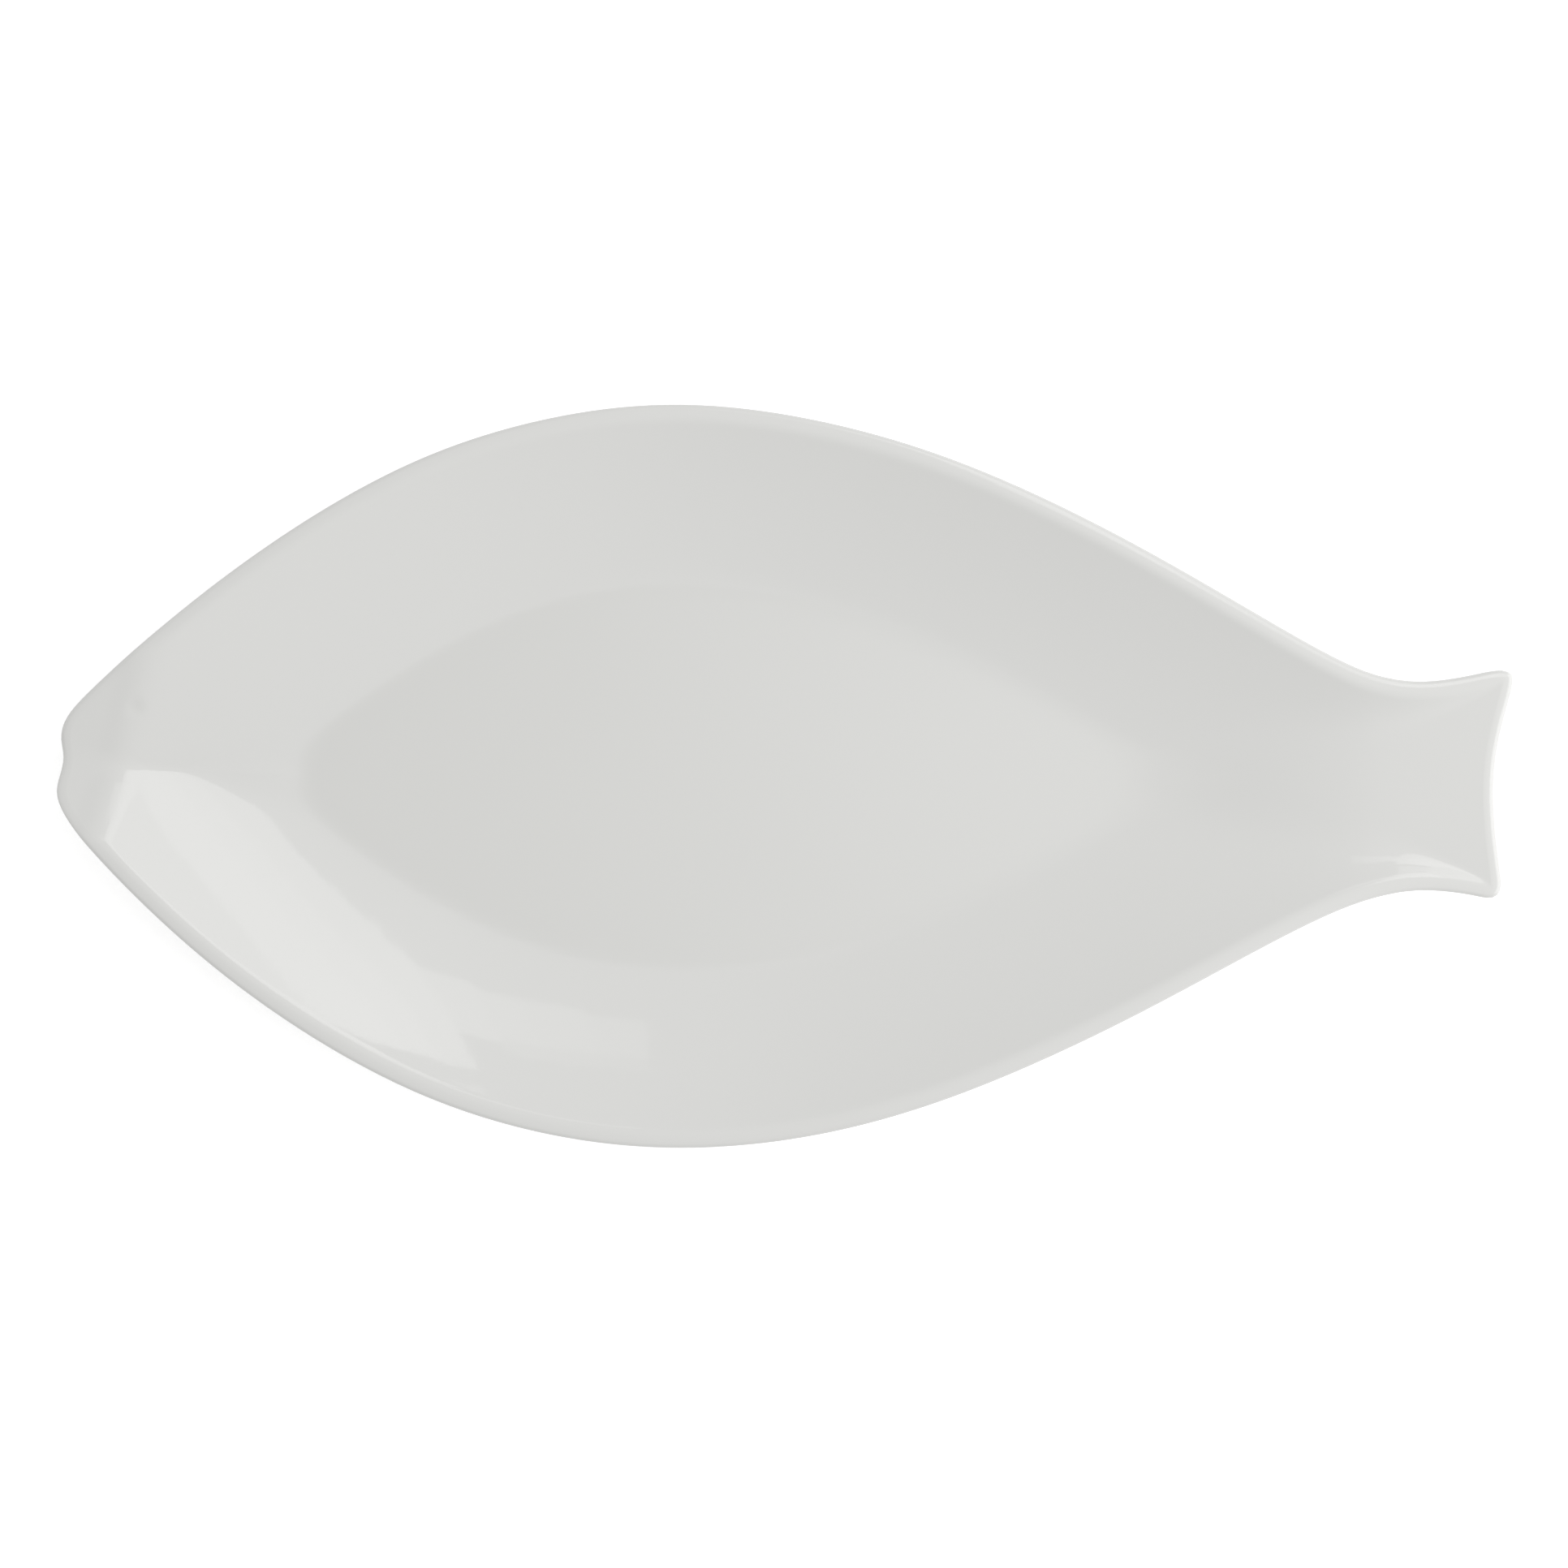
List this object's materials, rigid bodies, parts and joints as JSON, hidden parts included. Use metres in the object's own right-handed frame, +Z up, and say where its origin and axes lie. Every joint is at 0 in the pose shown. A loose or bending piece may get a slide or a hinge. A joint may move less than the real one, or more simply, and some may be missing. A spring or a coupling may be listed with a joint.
{
  "type": "fish shaped platter",
  "caption": "Shallow serving platter in the outline of a fish, white glazed porcelain with a flat well, sloping wall, rolled rim and bare foot ring.",
  "frame": {"origin": "centre of the platter's outline, on the table under the foot ring", "axes": "+X from the mouth to the tail, +Y across the belly, +Z up out of the well"},
  "size_m": [0.406, 0.207, 0.0244],
  "materials": {
    "porcelain": "bare fired porcelain, fine and matte",
    "glaze": "clear gloss glaze over white porcelain"
  },
  "bodies": {
    "root": {"porcelain_body": "porcelain", "glaze_coat": "glaze", "base_glaze": "glaze"}
  },
  "joints": []
}
